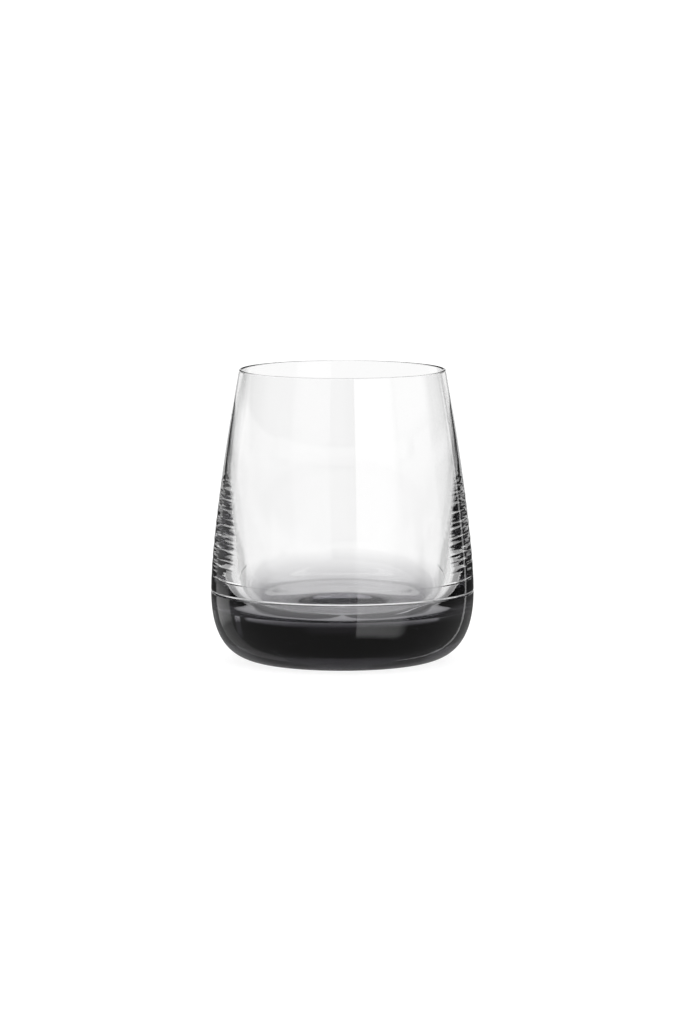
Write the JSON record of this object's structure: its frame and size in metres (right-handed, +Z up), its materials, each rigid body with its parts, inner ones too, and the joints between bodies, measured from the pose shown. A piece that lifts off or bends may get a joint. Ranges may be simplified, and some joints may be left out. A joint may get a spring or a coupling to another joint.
{
  "type": "whiskey tumbler",
  "caption": "Stemless whiskey tumbler with a tapered clear glass bowl fused into a heavy, rounded smoke-grey glass base.",
  "frame": {"origin": "centre of the foot, on the surface the tumbler stands on", "axes": "+Z up along the axis of revolution; +X and +Y are free, because the tumbler is round"},
  "size_m": [0.09, 0.09, 0.1],
  "materials": {
    "clear_glass": "clear, colourless soda-lime glass, fire-polished and smooth",
    "smoke_glass": "neutral smoke-grey transparent glass, nearly black where it is thick, polished"
  },
  "bodies": {
    "root": {"clear_bowl": "clear_glass", "smoke_base": "smoke_glass"}
  },
  "joints": []
}
